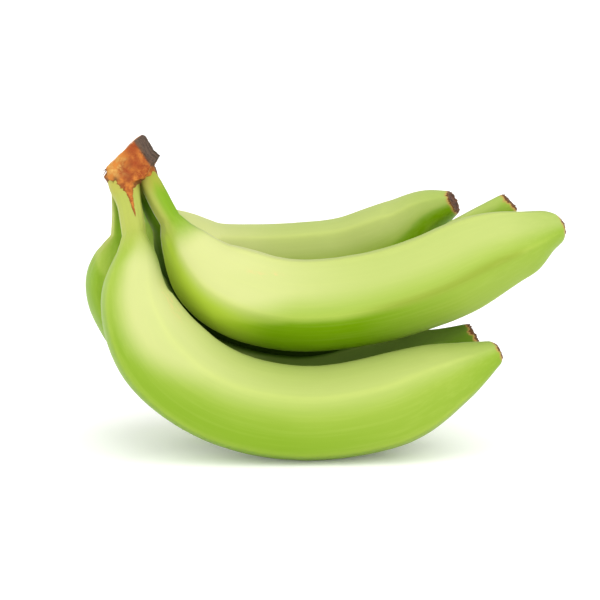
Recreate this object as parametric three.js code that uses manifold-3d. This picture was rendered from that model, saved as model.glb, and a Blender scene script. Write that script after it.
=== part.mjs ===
// A hand of green plantains: five fingers joined at one cut crown, resting on the two lower fingers.
// Millimetres, Z up, front towards -Y, blossom ends towards +X.
// The finished group's origin is the centre of the bottom of its box.

import * as THREE from 'three';
import { mergeVertices } from 'three/addons/utils/BufferGeometryUtils.js';
import Module from 'manifold-3d';

const wasm = await Module();
wasm.setup();

// Finger sections
const SIDES = 20;
const RINGS = 28;
const RIDGES = 5;
const RIDGE_SHARPNESS = 9;
const RIDGE_HEIGHT = 0.7;
const RIDGE_HEIGHT_STALK = 0.1;
const RIDGE_HEIGHT_TIP = 0.3;
const RIDGES_FULL_FROM = 0.4;
const RIDGES_FULL_TO = 0.85;

// Finger radii, and the lengths over which they change
const STALK_RADIUS = 6.6;
const TIP_RADIUS = 5.6;
const TIP_DISH = 1.2;
const ROOT_LENGTH = 10;
const ROOT_NARROWING = 0.2;
const FLARE_START = 2;
const FLARE_END = 20;
const SHOULDER_POWER = 1.1;
const TAPER_POWER = 1.15;

// The height of the surface in the fingers' coordinates. The skin lies flat on it.
const SURFACE = 2;

// The crown: its slab runs back from the front face, square to its outline
const CROWN_FRONT = 17;
const CROWN_BACK = 66;
const CROWN_BEVEL = 1.2;
const CROWN_BEVEL_STEPS = 2;
const COLLAR_LENGTH = 10;
const COLLAR_RINGS = 5;
const COLLAR_ROOT_WALL = 1.6;
const COLLAR_EDGE_WALL = 0.7;
const FIT_GAP = 0.3;

const SKIN = { front: 0xb9d263, lit: 0xcfe07c, shaded: 0x8fb53f };
const CROWN_COLOUR = 0xb9763f;
const SKIN_ROUGHNESS = 0.42;
const CROWN_ROUGHNESS = 0.85;

// The view that the fingers curve in: their bends lie nearly in planes that face the front
const SIDE = new THREE.Vector3(0, -1, 0);

// Each finger's middle line runs from its root in the crown to its blossom end.
// girth is its widest radius, stalk the length of its thin neck, shoulder and taper the lengths over
// which it swells and narrows, and roll turns its ridges, in degrees. Some have their own neck and tip
// radii, a blunter taper, or a flare where the stalk widens into the crown.
const FINGERS = {
  finger_front_lower: {
    route: [[-88, 25, 138], [-84.2, 22, 126.4], [-81.8, 17, 115.7], [-79.2, 6, 100], [-78.8, -3, 78.1],
      [-66.6, -7, 52.9], [-40.6, -8, 32.7], [-1.3, -7, 23.1], [39.8, -4, 27.7], [70.9, 1, 40.3],
      [96.2, 6, 52.3]],
    girth: 22.4, stalk: 34.2, shoulder: 73, taper: 64, roll: 24, neck: 5.9, flare: 2.3, colour: SKIN.front,
  },
  finger_front_upper: {
    route: [[-76.3, 28, 139], [-69.3, 26, 124.2], [-62.9, 23, 113.3], [-56.7, 21, 102.8], [-43.2, 18, 87.7],
      [-24.6, 16, 78.8], [-0.6, 15, 74.5], [34, 15, 77.9], [64, 16, 86.8], [90.3, 20, 98.3],
      [128.8, 28, 110.6]],
    girth: 22.1, stalk: 28, shoulder: 58, taper: 63, roll: 0, neck: 5.2, blunt: 0.9, colour: SKIN.lit,
  },
  finger_middle_upper: {
    route: [[-78.5, 47, 137], [-70, 48, 114], [-61, 57, 95], [-46, 61.6, 73.8], [-26, 65, 61], [0, 66, 57],
      [31.2, 68, 61.8], [61, 64, 78.8], [86, 58, 100.9], [105.8, 56, 120.3]],
    girth: 19.4, stalk: 30, shoulder: 60, taper: 70, roll: -8, colour: SKIN.front,
  },
  finger_back_upper: {
    route: [[-81, 60.5, 136], [-76.7, 69, 118.1], [-67.5, 88.6, 98.5], [-49.7, 99.6, 86.4], [-25.5, 101, 84.2],
      [2.8, 100, 85.7], [27.2, 99.3, 89.2], [52, 94.5, 100.5], [66, 88.2, 111], [79.2, 79.8, 118]],
    girth: 19.5, stalk: 28, shoulder: 45, taper: 56, roll: 10, tip: 6.4, colour: SKIN.front,
  },
  finger_back_lower: {
    route: [[-88.2, 41, 136], [-87.6, 41, 120.2], [-88.2, 39, 104.7], [-88.8, 39, 82.5], [-74.2, 41.2, 54],
      [-49.5, 43.2, 32.4], [0.6, 44.5, 21.2], [38.5, 42.5, 29.8], [70.2, 42, 45.7], [87, 41, 55.6]],
    girth: 20.5, stalk: 31, shoulder: 34, taper: 70, roll: 20, neck: 5.8, colour: SKIN.shaded,
  },
};

// Outline of the crown's front face, x and z, from its left corner round by the cut face
const CROWN_OUTLINE = [
  [-94, 140], [-90, 144], [-80.5, 153.2], [-78.5, 152.7], [-74, 145.5], [-70.8, 143],
  [-73, 139.5], [-75.5, 135.5], [-84, 132.5], [-92.5, 134.5],
];

// The tongue of crown tissue that lies along the front of the front lower finger's stalk
const TONGUE_TOP = new THREE.Vector3(-82.5, 15.6, 137);
const TONGUE_TIP = new THREE.Vector3(-79.8, 10.4, 117);
const TONGUE_HALF_WIDTH = 4.6;
const TONGUE_HALF_THICKNESS = 1.9;
const TONGUE_SIDES = 10;

// Rounded pentagon: its radius at an angle, with a flat at angle zero.
function pentagon(angle) {
  let sum = 0;
  for (let flat = 0; flat < RIDGES; flat += 1) {
    const facing = Math.max(0, Math.cos(angle - (flat * 2 * Math.PI) / RIDGES));
    sum += facing ** RIDGE_SHARPNESS;
  }
  return sum ** (-1 / RIDGE_SHARPNESS);
}

const PENTAGON_SAMPLES = 200;
let pentagonTotal = 0;
for (let i = 0; i < PENTAGON_SAMPLES; i += 1) {
  pentagonTotal += pentagon((i * 2 * Math.PI) / PENTAGON_SAMPLES);
}
const PENTAGON_MEAN = pentagonTotal / PENTAGON_SAMPLES;

// Rises from 0 to 1 quickly at first and softly at the end.
function ease(x, power) {
  const left = 1 - THREE.MathUtils.clamp(x, 0, 1);
  return (1 - left * left) ** power;
}

// Mean radius of a finger at a distance along it.
function fingerRadius(finger, distance, length) {
  const neck = finger.neck ?? STALK_RADIUS;
  const swell = ease((distance - finger.stalk) / finger.shoulder, SHOULDER_POWER);
  const body = THREE.MathUtils.lerp(neck, finger.girth, swell);
  const kept = ease((length - distance) / finger.taper, finger.blunt ?? TAPER_POWER);
  const narrowed = ROOT_NARROWING * (1 - THREE.MathUtils.smoothstep(distance, 0, ROOT_LENGTH));
  const flared = (finger.flare ?? 0) * (1 - THREE.MathUtils.smoothstep(distance, FLARE_START, FLARE_END));
  return THREE.MathUtils.lerp(finger.tip ?? TIP_RADIUS, body, kept) * (1 - narrowed) + flared;
}

// How strongly the ridges show at a fraction of the finger's length.
function ridgeStrength(u) {
  const shoulder = THREE.MathUtils.smoothstep(u, 0, RIDGES_FULL_FROM);
  const tip = THREE.MathUtils.smoothstep(u, RIDGES_FULL_TO, 1);
  return THREE.MathUtils.lerp(RIDGE_HEIGHT_STALK, RIDGE_HEIGHT, shoulder)
    - (RIDGE_HEIGHT - RIDGE_HEIGHT_TIP) * tip;
}

// A closed body round the first part of a finger's middle line, as a bent and swollen cylinder.
// reach is the fraction of the line it covers, and wall(distance) is added to the finger's own radius.
// The root face moves out by lead, and the middle of the blossom end sinks in by dish.
function sweptGeometry(finger, { rings = RINGS, reach = 1, wall = () => 0, lead = 0, dish = 0 } = {}) {
  const line = new THREE.CatmullRomCurve3(finger.route.map((point) => new THREE.Vector3(...point)));
  const length = line.getLength();
  const roll = THREE.MathUtils.degToRad(finger.roll);
  const geometry = new THREE.CylinderGeometry(1, 1, 1, SIDES, rings);
  const position = geometry.attributes.position;
  for (let i = 0; i < position.count; i += 1) {
    const u = (0.5 - position.getY(i)) * reach;
    const distance = u * length;
    const centre = line.getPointAt(u);
    const tangent = line.getTangentAt(u);
    const inner = new THREE.Vector3().crossVectors(SIDE, tangent).normalize();
    const across = new THREE.Vector3().crossVectors(tangent, inner);
    const angle = Math.atan2(position.getZ(i), position.getX(i));
    const share = Math.hypot(position.getX(i), position.getZ(i));
    const facet = 1 + ridgeStrength(u) * (pentagon(angle - roll) / PENTAGON_MEAN - 1);
    const radius = share * (fingerRadius(finger, distance, length) * facet + wall(distance));
    const sink = (u === 1 ? dish * (1 - share) : 0) + (u === 0 ? lead : 0);
    const point = centre.addScaledVector(inner, radius * Math.cos(angle))
      .addScaledVector(across, radius * Math.sin(angle))
      .addScaledVector(tangent, -sink);
    position.setXYZ(i, point.x, point.y, Math.max(SURFACE, point.z));
  }
  return geometry;
}

// The crown's slab: its outline run back from the front face, with worn edges.
function slabGeometry() {
  const outline = new THREE.Shape(CROWN_OUTLINE.map(([x, z]) => new THREE.Vector2(x, z)));
  const geometry = new THREE.ExtrudeGeometry(outline, {
    depth: CROWN_BACK - CROWN_FRONT - 2 * CROWN_BEVEL,
    bevelThickness: CROWN_BEVEL,
    bevelSize: CROWN_BEVEL,
    bevelOffset: -CROWN_BEVEL,
    bevelSegments: CROWN_BEVEL_STEPS,
  });
  geometry.rotateX(Math.PI / 2);
  geometry.translate(0, CROWN_BACK - CROWN_BEVEL, 0);
  return geometry;
}

// A flat cone from the crown down to the tongue's tip.
function tongueGeometry() {
  const along = new THREE.Vector3().subVectors(TONGUE_TIP, TONGUE_TOP);
  const geometry = new THREE.ConeGeometry(1, along.length(), TONGUE_SIDES);
  geometry.scale(TONGUE_HALF_WIDTH, 1, TONGUE_HALF_THICKNESS);
  geometry.applyQuaternion(
    new THREE.Quaternion().setFromUnitVectors(new THREE.Vector3(0, 1, 0), along.clone().normalize()),
  );
  const middle = TONGUE_TOP.clone().addScaledVector(along, 0.5);
  geometry.translate(middle.x, middle.y, middle.z);
  return geometry;
}

// Boolean solids from closed geometries, and back.
function toSolid(geometry) {
  const bare = new THREE.BufferGeometry();
  bare.setAttribute('position', geometry.attributes.position.clone());
  if (geometry.index) {
    bare.setIndex(geometry.index.clone());
  }
  const merged = mergeVertices(bare, 1e-4);
  return new wasm.Manifold(new wasm.Mesh({
    numProp: 3,
    vertProperties: Float32Array.from(merged.attributes.position.array),
    triVerts: Uint32Array.from(merged.index.array),
  }));
}

function toGeometry(solid) {
  const mesh = solid.getMesh();
  const geometry = new THREE.BufferGeometry();
  geometry.setAttribute('position', new THREE.BufferAttribute(mesh.vertProperties, mesh.numProp));
  geometry.setIndex(new THREE.BufferAttribute(mesh.triVerts, 1));
  geometry.computeVertexNormals();
  return geometry;
}

// The crown: the slab, a collar round each stalk and the tongue, with a socket for each stalk.
function crownGeometry() {
  let crown = toSolid(slabGeometry()).add(toSolid(tongueGeometry()));
  for (const finger of Object.values(FINGERS)) {
    const line = new THREE.CatmullRomCurve3(finger.route.map((point) => new THREE.Vector3(...point)));
    const collar = sweptGeometry(finger, {
      rings: COLLAR_RINGS,
      reach: COLLAR_LENGTH / line.getLength(),
      wall: (distance) => THREE.MathUtils.lerp(COLLAR_ROOT_WALL, COLLAR_EDGE_WALL, distance / COLLAR_LENGTH),
    });
    crown = crown.add(toSolid(collar));
  }
  for (const finger of Object.values(FINGERS)) {
    crown = crown.subtract(toSolid(sweptGeometry(finger, { wall: () => FIT_GAP, lead: FIT_GAP })));
  }
  return toGeometry(crown);
}

function namedMesh(name, geometry, colour, roughness) {
  const material = new THREE.MeshStandardMaterial({ color: colour, roughness, metalness: 0 });
  const mesh = new THREE.Mesh(geometry, material);
  mesh.name = name;
  return mesh;
}

const hand = new THREE.Group();
for (const [name, finger] of Object.entries(FINGERS)) {
  hand.add(namedMesh(name, sweptGeometry(finger, { dish: TIP_DISH }), finger.colour, SKIN_ROUGHNESS));
}
hand.add(namedMesh('crown', crownGeometry(), CROWN_COLOUR, CROWN_ROUGHNESS));

const box = new THREE.Box3().setFromObject(hand);
const middle = box.getCenter(new THREE.Vector3());
hand.position.set(-middle.x, -middle.y, -box.min.z);

export default hand;
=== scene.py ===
"""A hand of five green plantains on one cut crown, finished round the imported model.

The fingers' middle lines and sizes repeat the solids' own, in millimetres and in the coordinates that
the hand was drawn in. Everything is shifted from there into the frame, in metres.

A section angle, or side, is 0 on a finger's inner, hollow side, 90 degrees towards the viewer and 180 on
its outer side. A share along a finger is 0 at the crown and 1 at the blossom end.
"""

import math

import bmesh
import bpy
import numpy as np
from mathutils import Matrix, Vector, noise


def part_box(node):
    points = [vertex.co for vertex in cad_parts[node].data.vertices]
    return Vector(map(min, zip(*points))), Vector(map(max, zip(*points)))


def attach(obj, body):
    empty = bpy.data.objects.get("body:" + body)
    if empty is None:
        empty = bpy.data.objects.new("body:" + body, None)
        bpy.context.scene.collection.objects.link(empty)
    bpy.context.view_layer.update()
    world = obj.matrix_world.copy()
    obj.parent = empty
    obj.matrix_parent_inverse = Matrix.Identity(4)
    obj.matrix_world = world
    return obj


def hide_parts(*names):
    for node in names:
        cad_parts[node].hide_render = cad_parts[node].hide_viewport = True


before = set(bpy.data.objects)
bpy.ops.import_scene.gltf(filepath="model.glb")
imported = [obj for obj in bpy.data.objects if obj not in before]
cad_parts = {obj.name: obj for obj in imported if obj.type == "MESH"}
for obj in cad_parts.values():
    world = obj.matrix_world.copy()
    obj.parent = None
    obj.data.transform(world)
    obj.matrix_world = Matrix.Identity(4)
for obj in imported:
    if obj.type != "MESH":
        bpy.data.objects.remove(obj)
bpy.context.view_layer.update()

MM = 0.001

# Finger sections, as in the solids
RIDGES = 5
RIDGE_SHARPNESS = 9
RIDGE_HEIGHT = 0.7
RIDGE_HEIGHT_STALK = 0.1
RIDGE_HEIGHT_TIP = 0.3
RIDGE_GROWS = (0, 0.4)
RIDGE_FADES = (0.85, 1)
STALK_RADIUS = 6.6
TIP_RADIUS = 5.6
ROOT_LENGTH = 10
ROOT_NARROWING = 0.2
FLARE_RANGE = (2, 20)
SHOULDER_POWER = 1.1
TAPER_POWER = 1.15
SOLID_SIDES = 20
SOLID_RINGS = 28
SIDE = np.array([0.0, -1.0, 0.0])

# Height of the surface that the hand rests on
SURFACE = 2

# Finer sections for the finished fingers
SIDES = 120
RINGS = 260
ROUTE_STEPS = 100

# Each finger's route, girth and other sizes down to "blunt" are as in the solids. The rest is for the skin:
#   turn                how far its fine ridges are turned from the solid's, in degrees
#   slant               how far the end leans across, as a share of its radius
#   bumps               distance from the tip, side, height, length and width in degrees
#   tip_round, scar_lip how much the skin rounds in at the end, and how high the scar's rim stands
#   seed                start of the finger's own noise
#   tone                how strong and wide its pale band is, a paler tone with a painted highlight
#   green_side          the greener side of its neck
#   crevice             distances to the next finger at which painted shade makes it dark green, and no longer so
#   deep                strength of the deep outer green, its own and partly painted shade, at shares along
#   edge, soft          cosine of the side at which that green starts, at shares along, and its softness
#   flank, crease       strengths of the painted light on the flank at the shoulder, and of the olive line along the front
#   shade               strength of the dark green on top of the outer half
#   scuffs, dimmed      rubbed places, and darker places of painted shade: share along, side, length and width in degrees
FINGERS = {
    "finger_front_lower": {
        "route": [(-88, 25, 138), (-84.2, 22, 126.4), (-81.8, 17, 115.7), (-79.2, 6, 100), (-78.8, -3, 78.1),
                  (-66.6, -7, 52.9), (-40.6, -8, 32.7), (-1.3, -7, 23.1), (39.8, -4, 27.7), (70.9, 1, 40.3),
                  (96.2, 6, 52.3)],
        "girth": 22.4, "stalk": 34.2, "shoulder": 73, "taper": 64, "roll": 24, "neck": 5.9, "flare": 2.3,
        "tip_round": 0.24, "scar_lip": 0.3, "seed": 3,
        "tone": 0.5, "green_side": 250, "crevice_shade": (1, 7),
        "outer_green_and_shade": [(0.3, 0.6), (0.6, 0.62), (0.8, 0.3)],
        "edge": [(0.18, -1.2), (0.3, -0.35), (0.45, -0.05)], "soft": 0.4,
        "scuffs": [(0.27, 20, 0.05, 14)],
        "painted_shade_places": [(0.165, 6, 0.05, 38)],
    },
    "finger_front_upper": {
        "route": [(-76.3, 28, 139), (-69.3, 26, 124.2), (-62.9, 23, 113.3), (-56.7, 21, 102.8),
                  (-43.2, 18, 87.7), (-24.6, 16, 78.8), (-0.6, 15, 74.5), (34, 15, 77.9), (64, 16, 86.8),
                  (90.3, 20, 98.3), (128.8, 28, 110.6)],
        "girth": 22.1, "stalk": 28, "shoulder": 58, "taper": 63, "roll": 0, "neck": 5.2, "blunt": 0.9,
        "turn": -9, "tip_round": 0.24, "scar_lip": 0.3, "seed": 11,
        "bumps": [(19, 180, 1.3, 7, 45), (8, 180, -0.7, 4, 45), (6, 0, 0.9, 5, 50), (20, 0, -0.4, 6, 50)],
        "tone": 0.7, "green_side": 25, "crevice_shade": (0.3, 2.5),
        "outer_green_and_shade": [(0.55, 1), (0.75, 0.05)],
        "edge": [(0.2, -1.2), (0.33, -0.6), (0.43, -0.24), (0.9, -0.16)],
        "painted_flank_light": 0.8, "crease": 0.5,
        "scuffs": [(0.345, 53, 0.022, 3), (0.385, 48, 0.018, 3)],
    },
    "finger_middle_upper": {
        "route": [(-78.5, 47, 137), (-70, 48, 114), (-61, 57, 95), (-46, 61.6, 73.8), (-26, 65, 61),
                  (0, 66, 57), (31.2, 68, 61.8), (61, 64, 78.8), (86, 58, 100.9), (105.8, 56, 120.3)],
        "girth": 19.4, "stalk": 30, "shoulder": 60, "taper": 70, "roll": -8,
        "tip_round": 0.08, "scar_lip": 0.8, "seed": 23,
        "tone": 0.35, "green_side": 90, "crevice_shade": (3, 17),
        "outer_green_and_shade": [(0.5, 0.6)],
        "edge": [(0.2, -1.2), (0.45, -0.4)],
    },
    "finger_back_upper": {
        "route": [(-81, 60.5, 136), (-76.7, 69, 118.1), (-67.5, 88.6, 98.5), (-49.7, 99.6, 86.4),
                  (-25.5, 101, 84.2), (2.8, 100, 85.7), (27.2, 99.3, 89.2), (52, 94.5, 100.5),
                  (66, 88.2, 111), (79.2, 79.8, 118)],
        "girth": 19.5, "stalk": 28, "shoulder": 45, "taper": 56, "roll": 10, "tip": 6.4,
        "slant": 0.22, "tip_round": 0.06, "scar_lip": 0.9, "seed": 37,
        "tone": 0.75, "green_side": 90, "crevice_shade": (0, 6),
        "outer_green_and_shade": [(0.75, 0.4), (0.88, 1)],
        "edge": [(0.2, -1.2), (0.45, -0.5), (0.74, -0.35), (0.84, -0.02), (0.9, 0.12)],
    },
    "finger_back_lower": {
        "route": [(-88.2, 41, 136), (-87.6, 41, 120.2), (-88.2, 39, 104.7), (-88.8, 39, 82.5),
                  (-74.2, 41.2, 54), (-49.5, 43.2, 32.4), (0.6, 44.5, 21.2), (38.5, 42.5, 29.8),
                  (70.2, 42, 45.7), (87, 41, 55.6)],
        "girth": 20.5, "stalk": 31, "shoulder": 34, "taper": 70, "roll": 20, "neck": 5.8,
        "tip_round": 0.08, "scar_lip": 1.0, "seed": 41,
        "bumps": [(27, 0, 0.9, 5, 35)],
        "tone": 0.3, "green_side": 66, "crevice_shade": (4, 16),
        "outer_green_and_shade": [(0.5, 0.7)],
        "edge": [(0.145, -1.2), (0.185, -0.4), (0.5, -0.4)],
        "shade": 0.8,
    },
}

# The crown's slab, as in the solids: its outline from the front, and where it starts and ends in depth
CROWN_OUTLINE = [(-94, 140), (-90, 144), (-80.5, 153.2), (-78.5, 152.7), (-74, 145.5), (-70.8, 143),
                 (-73, 139.5), (-75.5, 135.5), (-84, 132.5), (-92.5, 134.5)]
CROWN_FRONT = 17
CROWN_BACK = 66


# Curves and sections


def along_route(route, count):
    """Evenly spaced points on the centripetal Catmull-Rom curve through a route, and its length."""
    points = np.asarray(route, float)
    ends = np.vstack([points[0] * 2 - points[1], points, points[-1] * 2 - points[-2]])
    dense = []
    for i in range(len(points) - 1):
        p0, p1, p2, p3 = ends[i:i + 4]
        d0, d1, d2 = (np.linalg.norm(b - a) ** 0.5 for a, b in ((p0, p1), (p1, p2), (p2, p3)))
        t1 = ((p1 - p0) / d0 - (p2 - p0) / (d0 + d1) + (p2 - p1) / d1) * d1
        t2 = ((p2 - p1) / d1 - (p3 - p1) / (d1 + d2) + (p3 - p2) / d2) * d1
        t = np.linspace(0, 1, ROUTE_STEPS, endpoint=i == len(points) - 2)[:, None]
        dense.append(p1 + t1 * t + (-3 * p1 + 3 * p2 - 2 * t1 - t2) * t ** 2
                     + (2 * p1 - 2 * p2 + t1 + t2) * t ** 3)
    dense = np.vstack(dense)
    distance = np.concatenate([[0], np.cumsum(np.linalg.norm(np.diff(dense, axis=0), axis=1))])
    wanted = np.linspace(0, distance[-1], count)
    return np.stack([np.interp(wanted, distance, dense[:, k]) for k in range(3)], 1), distance[-1]


def smoothstep(x, low, high):
    t = np.clip((x - low) / (high - low), 0, 1)
    return t * t * (3 - 2 * t)


def band(x, start, full, fading, end):
    """Rises from 0 at start to 1 at full, and falls from 1 at fading to 0 at end."""
    return smoothstep(x, start, full) * (1 - smoothstep(x, fading, end))


def pentagon(angle):
    """Radius of a rounded pentagon, with a flat at angle zero."""
    total = sum(np.maximum(0, np.cos(angle - flat * 2 * np.pi / RIDGES)) ** RIDGE_SHARPNESS
                for flat in range(RIDGES))
    return total ** (-1 / RIDGE_SHARPNESS)


PENTAGON_MEAN = pentagon(np.linspace(0, 2 * np.pi, 200, endpoint=False)).mean()


def ease(x, power):
    left = 1 - np.clip(x, 0, 1)
    return (1 - left * left) ** power


def finger_radius(finger, distance, length):
    """Mean radius of a finger at a distance along it."""
    neck = finger.get("neck", STALK_RADIUS)
    grown = ease((distance - finger["stalk"]) / finger["shoulder"], SHOULDER_POWER)
    body = neck + (finger["girth"] - neck) * grown
    kept = ease((length - distance) / finger["taper"], finger.get("blunt", TAPER_POWER))
    narrowed = ROOT_NARROWING * (1 - smoothstep(distance, 0, ROOT_LENGTH))
    flared = finger.get("flare", 0) * (1 - smoothstep(distance, *FLARE_RANGE))
    tip = finger.get("tip", TIP_RADIUS)
    return (tip + (body - tip) * kept) * (1 - narrowed) + flared


def ridge_strength(u):
    return (RIDGE_HEIGHT_STALK + (RIDGE_HEIGHT - RIDGE_HEIGHT_STALK) * smoothstep(u, *RIDGE_GROWS)
            - (RIDGE_HEIGHT - RIDGE_HEIGHT_TIP) * smoothstep(u, *RIDGE_FADES))


class Sweep:
    """A finger's rings: middle line, directions and radii, in drawing millimetres."""

    def __init__(self, finger, rings, sides, turn=0.0):
        self.centre, self.length = along_route(finger["route"], rings + 1)
        self.u = np.linspace(0, 1, rings + 1)
        self.distance = self.u * self.length
        tangent = np.gradient(self.centre, axis=0)
        self.tangent = tangent / np.linalg.norm(tangent, axis=1)[:, None]
        inner = np.cross(SIDE, self.tangent)
        self.inner = inner / np.linalg.norm(inner, axis=1)[:, None]
        self.across = np.cross(self.tangent, self.inner)
        self.angle = np.linspace(0, 2 * np.pi, sides, endpoint=False)
        self.from_flat = self.angle - math.radians(finger["roll"] + turn)
        shape = pentagon(self.from_flat) / PENTAGON_MEAN - 1
        mean = finger_radius(finger, self.distance, self.length)
        self.radius = mean[:, None] * (1 + ridge_strength(self.u)[:, None] * shape[None, :])

    def points(self, radius=None, shift=0.0):
        """Ring points at the finger's own radii, or at others, moved along the middle line by shift."""
        r = self.radius if radius is None else radius
        cos, sin = np.cos(self.angle)[None, :, None], np.sin(self.angle)[None, :, None]
        out = cos * self.inner[:, None] + sin * self.across[:, None]
        shift = np.broadcast_to(np.asarray(shift), r.shape)
        return self.centre[:, None] + r[..., None] * out + shift[..., None] * self.tangent[:, None]


def drawing_shift():
    """What moves the drawing's coordinates, in metres, into the frame."""
    solid = Sweep(FINGERS["finger_front_upper"], SOLID_RINGS, SOLID_SIDES)
    own = solid.points().reshape(-1, 3) * MM
    low, high = (np.array(corner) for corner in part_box("finger_front_upper"))
    return (low + high) / 2 - (own.min(0) + own.max(0)) / 2


SHIFT = drawing_shift()


def to_frame(points):
    return np.asarray(points, float) * MM + SHIFT


# Camera and studio

ELEVATION = math.radians(8)
CAMERA_DISTANCE = 1.0
PIXEL = 0.48 * MM
FRAME_PIXELS = 600
SENSOR = 36.0
AIM = (0, 0, 78.1)

FLOOR_SIZE = 400
FLOOR_COLOUR = (0.94, 0.94, 0.935, 1)
FLOOR_ROUGHNESS = 0.9
FLOOR_GLOW = 0.11

# The sky is a little brighter at the horizon, and brighter still on the left, as by a white wall
HORIZON_LIGHT = 1.1
DOME_LIGHT = 0.6
HORIZON_TO_DOME = (0.02, 0.10)
WALL_LIGHT = 1.6
WALL_RANGE = (-0.3, -0.95)

# Broad lamps: name, direction towards each, strength, and spread in degrees
LAMPS = [("overhead", (0.5, -0.22, 0.84), 2.1, 90), ("front", (0.15, -0.93, 0.3), 1.2, 40)]


def put_in_scene(name, data):
    holder = bpy.data.objects.new(name, data)
    bpy.context.scene.collection.objects.link(holder)
    return holder


def make_camera():
    camera = bpy.data.cameras.new("camera")
    camera.sensor_width = SENSOR
    camera.lens = SENSOR * CAMERA_DISTANCE / (PIXEL * FRAME_PIXELS)
    camera.clip_start = 0.05
    camera.clip_end = 50
    holder = put_in_scene("camera", camera)
    back = Vector((0, -math.cos(ELEVATION), math.sin(ELEVATION)))
    holder.location = Vector(to_frame(AIM)) + back * CAMERA_DISTANCE
    holder.rotation_euler = (math.pi / 2 - ELEVATION, 0, 0)
    bpy.context.scene.camera = holder


def make_lamp(name, towards, power, spread):
    """A broad lamp that is even all over the floor."""
    light = bpy.data.lights.new(name, "SUN")
    light.energy = power
    light.angle = math.radians(spread)
    put_in_scene(name, light).rotation_euler = Vector(towards).to_track_quat("Z", "Y").to_euler()


def mapped(tree, value, source, target):
    """A world node's output that takes one range of a value onto another."""
    node = tree.nodes.new("ShaderNodeMapRange")
    tree.links.new(value, node.inputs["Value"])
    for socket, number in zip(("From Min", "From Max", "To Min", "To Max"), (*source, *target)):
        node.inputs[socket].default_value = number
    return node.outputs["Result"]


def make_sky():
    scene = bpy.context.scene
    scene.view_settings.view_transform = "Standard"
    world = bpy.data.worlds.new("studio")
    world.use_nodes = True
    tree = world.node_tree
    direction = tree.nodes.new("ShaderNodeTexCoord").outputs["Generated"]
    apart = tree.nodes.new("ShaderNodeSeparateXYZ")
    tree.links.new(direction, apart.inputs[0])
    total = tree.nodes.new("ShaderNodeMath")
    by_height = mapped(tree, apart.outputs["Z"], HORIZON_TO_DOME, (HORIZON_LIGHT, DOME_LIGHT))
    by_side = mapped(tree, apart.outputs["X"], WALL_RANGE, (0, WALL_LIGHT))
    tree.links.new(by_height, total.inputs[0])
    tree.links.new(by_side, total.inputs[1])
    background = tree.nodes["Background"]
    tree.links.new(total.outputs[0], background.inputs["Strength"])
    background.inputs["Color"].default_value = (1, 1, 1, 1)
    scene.world = world


def make_floor():
    bpy.ops.mesh.primitive_plane_add(size=FLOOR_SIZE, location=(0, 0, 0))
    floor = bpy.context.object
    floor.name = "floor"
    paper = bpy.data.materials.new("pale_paper")
    paper.use_nodes = True
    shader = paper.node_tree.nodes["Principled BSDF"]
    shader.inputs["Base Color"].default_value = FLOOR_COLOUR
    shader.inputs["Roughness"].default_value = FLOOR_ROUGHNESS
    shader.inputs["Emission Color"].default_value = (1, 1, 1, 1)
    shader.inputs["Emission Strength"].default_value = FLOOR_GLOW
    floor.data.materials.append(paper)


# Materials


class Nodes:
    """A material's shader tree, built by short calls."""

    def __init__(self, name):
        self.material = bpy.data.materials.new(name)
        self.material.use_nodes = True
        self.tree = self.material.node_tree
        self.shader = self.tree.nodes["Principled BSDF"]

    def add(self, kind, **settings):
        node = self.tree.nodes.new(kind)
        for key, value in settings.items():
            setattr(node, key, value)
        return node

    def join(self, source, socket):
        if isinstance(source, (int, float)):
            socket.default_value = source
        elif isinstance(source, tuple):
            socket.default_value = (*source, 1)
        else:
            self.tree.links.new(source, socket)

    def attribute(self, name, output="Fac"):
        return self.add("ShaderNodeAttribute", attribute_name=name).outputs[output]

    def math(self, operation, a, b):
        node = self.add("ShaderNodeMath", operation=operation)
        self.join(a, node.inputs[0])
        self.join(b, node.inputs[1])
        return node.outputs[0]

    def times(self, first, *others):
        for factor in others:
            first = self.math("MULTIPLY", first, factor)
        return first

    def plus(self, a, b):
        return self.math("ADD", a, b)

    def less(self, a, b):
        return self.math("SUBTRACT", a, b)

    def step(self, value, low, high):
        """0 at low, 1 at high, smooth between."""
        node = self.add("ShaderNodeMapRange", interpolation_type="SMOOTHSTEP")
        self.join(value, node.inputs["Value"])
        node.inputs["From Min"].default_value = low
        node.inputs["From Max"].default_value = high
        return node.outputs["Result"]

    def scaled(self, vector, scale):
        """A vector times one number, or times three."""
        node = self.add("ShaderNodeVectorMath", operation="MULTIPLY")
        self.join(vector, node.inputs[0])
        node.inputs[1].default_value = scale if isinstance(scale, tuple) else (scale, scale, scale)
        return node.outputs[0]

    def noise(self, vector, scale, detail, roughness=0.55, distortion=0.0):
        """Noise from 0 to 1, with this many lobes to a metre."""
        node = self.add("ShaderNodeTexNoise")
        self.join(self.scaled(vector, scale), node.inputs["Vector"])
        node.inputs["Scale"].default_value = 1
        node.inputs["Detail"].default_value = detail
        node.inputs["Roughness"].default_value = roughness
        node.inputs["Distortion"].default_value = distortion
        return node.outputs["Fac"]

    def dots(self, vector, scale, low, high):
        """1 in the middle of each of many scattered dots, 0 between them."""
        node = self.add("ShaderNodeTexVoronoi")
        self.join(vector, node.inputs["Vector"])
        node.inputs["Scale"].default_value = scale
        return self.less(1, self.step(node.outputs["Distance"], low, high))

    def mix(self, share, a, b):
        node = self.add("ShaderNodeMix", data_type="RGBA", blend_type="MIX")
        self.join(share, node.inputs["Factor"])
        self.join(a, node.inputs[6])
        self.join(b, node.inputs[7])
        return node.outputs[2]

    def bump(self, height, strength, distance):
        node = self.add("ShaderNodeBump")
        self.join(height, node.inputs["Height"])
        node.inputs["Strength"].default_value = strength
        node.inputs["Distance"].default_value = distance
        self.tree.links.new(node.outputs[0], self.shader.inputs["Normal"])

    def set(self, name, value):
        self.join(value, self.shader.inputs[name])


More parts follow.
